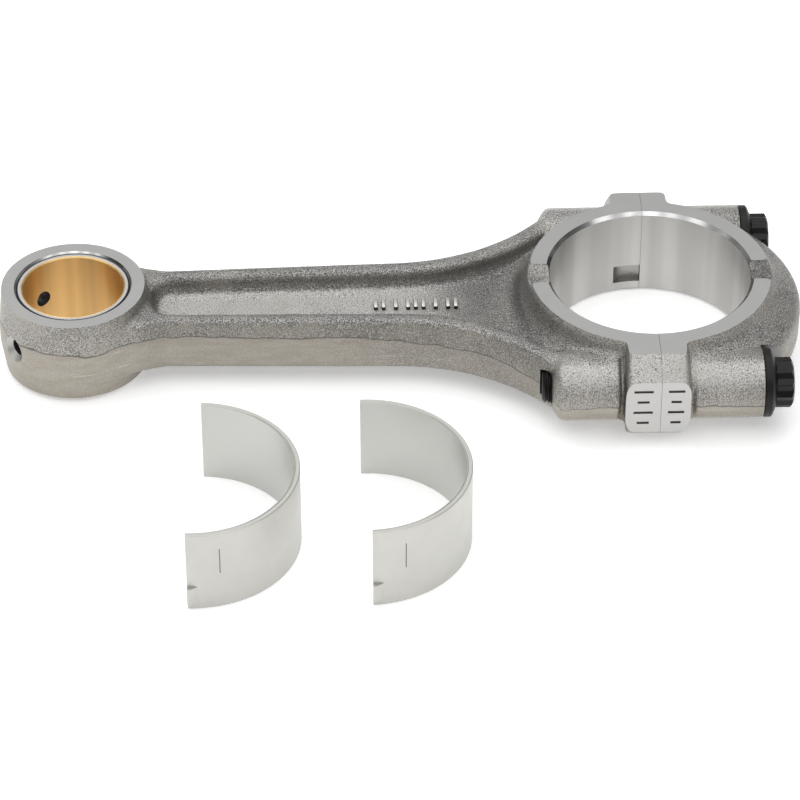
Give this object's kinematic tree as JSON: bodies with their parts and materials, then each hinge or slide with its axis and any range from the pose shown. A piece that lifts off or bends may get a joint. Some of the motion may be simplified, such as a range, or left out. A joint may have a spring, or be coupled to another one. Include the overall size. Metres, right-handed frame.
{
  "type": "connecting rod",
  "caption": "Forged connecting rod with a bushed small end, a bolted bearing cap and its two half bearing shells laid out beside it.",
  "frame": {"origin": "centre of the big end housing bore at the mid plane of the rod", "axes": "+X along the rod from the small end to the cap, +Z along both bores, up when the rod lies flat"},
  "size_m": [0.2399, 0.1648, 0.029],
  "materials": {
    "forged_steel": "shot blasted forging, ground faces and bores",
    "black_steel": "black oxide",
    "bush_steel": "turned",
    "bronze": "fine bored",
    "shell_steel": "tin flashed",
    "shell_alloy": "fine bored"
  },
  "bodies": {
    "rod": {"rod_body": "forged_steel", "small_end_bush_back": "bush_steel", "small_end_bush_lining": "bronze"},
    "cap": {"rod_cap": "forged_steel"},
    "bolt_near": {"cap_bolt_near": "black_steel"},
    "bolt_far": {"cap_bolt_far": "black_steel"},
    "upper_shell": {"upper_shell_back": "shell_steel", "upper_shell_lining": "shell_alloy"},
    "lower_shell": {"lower_shell_back": "shell_steel", "lower_shell_lining": "shell_alloy"}
  },
  "joints": [
    {"name": "cap_slide", "type": "slide", "parent": "rod", "child": "cap", "axis": [1, 0, 0], "range_m": [0, 0.045]},
    {"name": "bolt_near_slide", "type": "slide", "parent": "cap", "child": "bolt_near", "axis": [1, 0, 0], "range_m": [0, 0.07]},
    {"name": "bolt_far_slide", "type": "slide", "parent": "cap", "child": "bolt_far", "axis": [1, 0, 0], "range_m": [0, 0.07]},
    {"name": "upper_shell_lift", "type": "slide", "parent": "rod", "child": "upper_shell", "axis": [0, 0, 1], "range_m": [0, 0.05]},
    {"name": "lower_shell_lift", "type": "slide", "parent": "rod", "child": "lower_shell", "axis": [0, 0, 1], "range_m": [0, 0.05]}
  ]
}
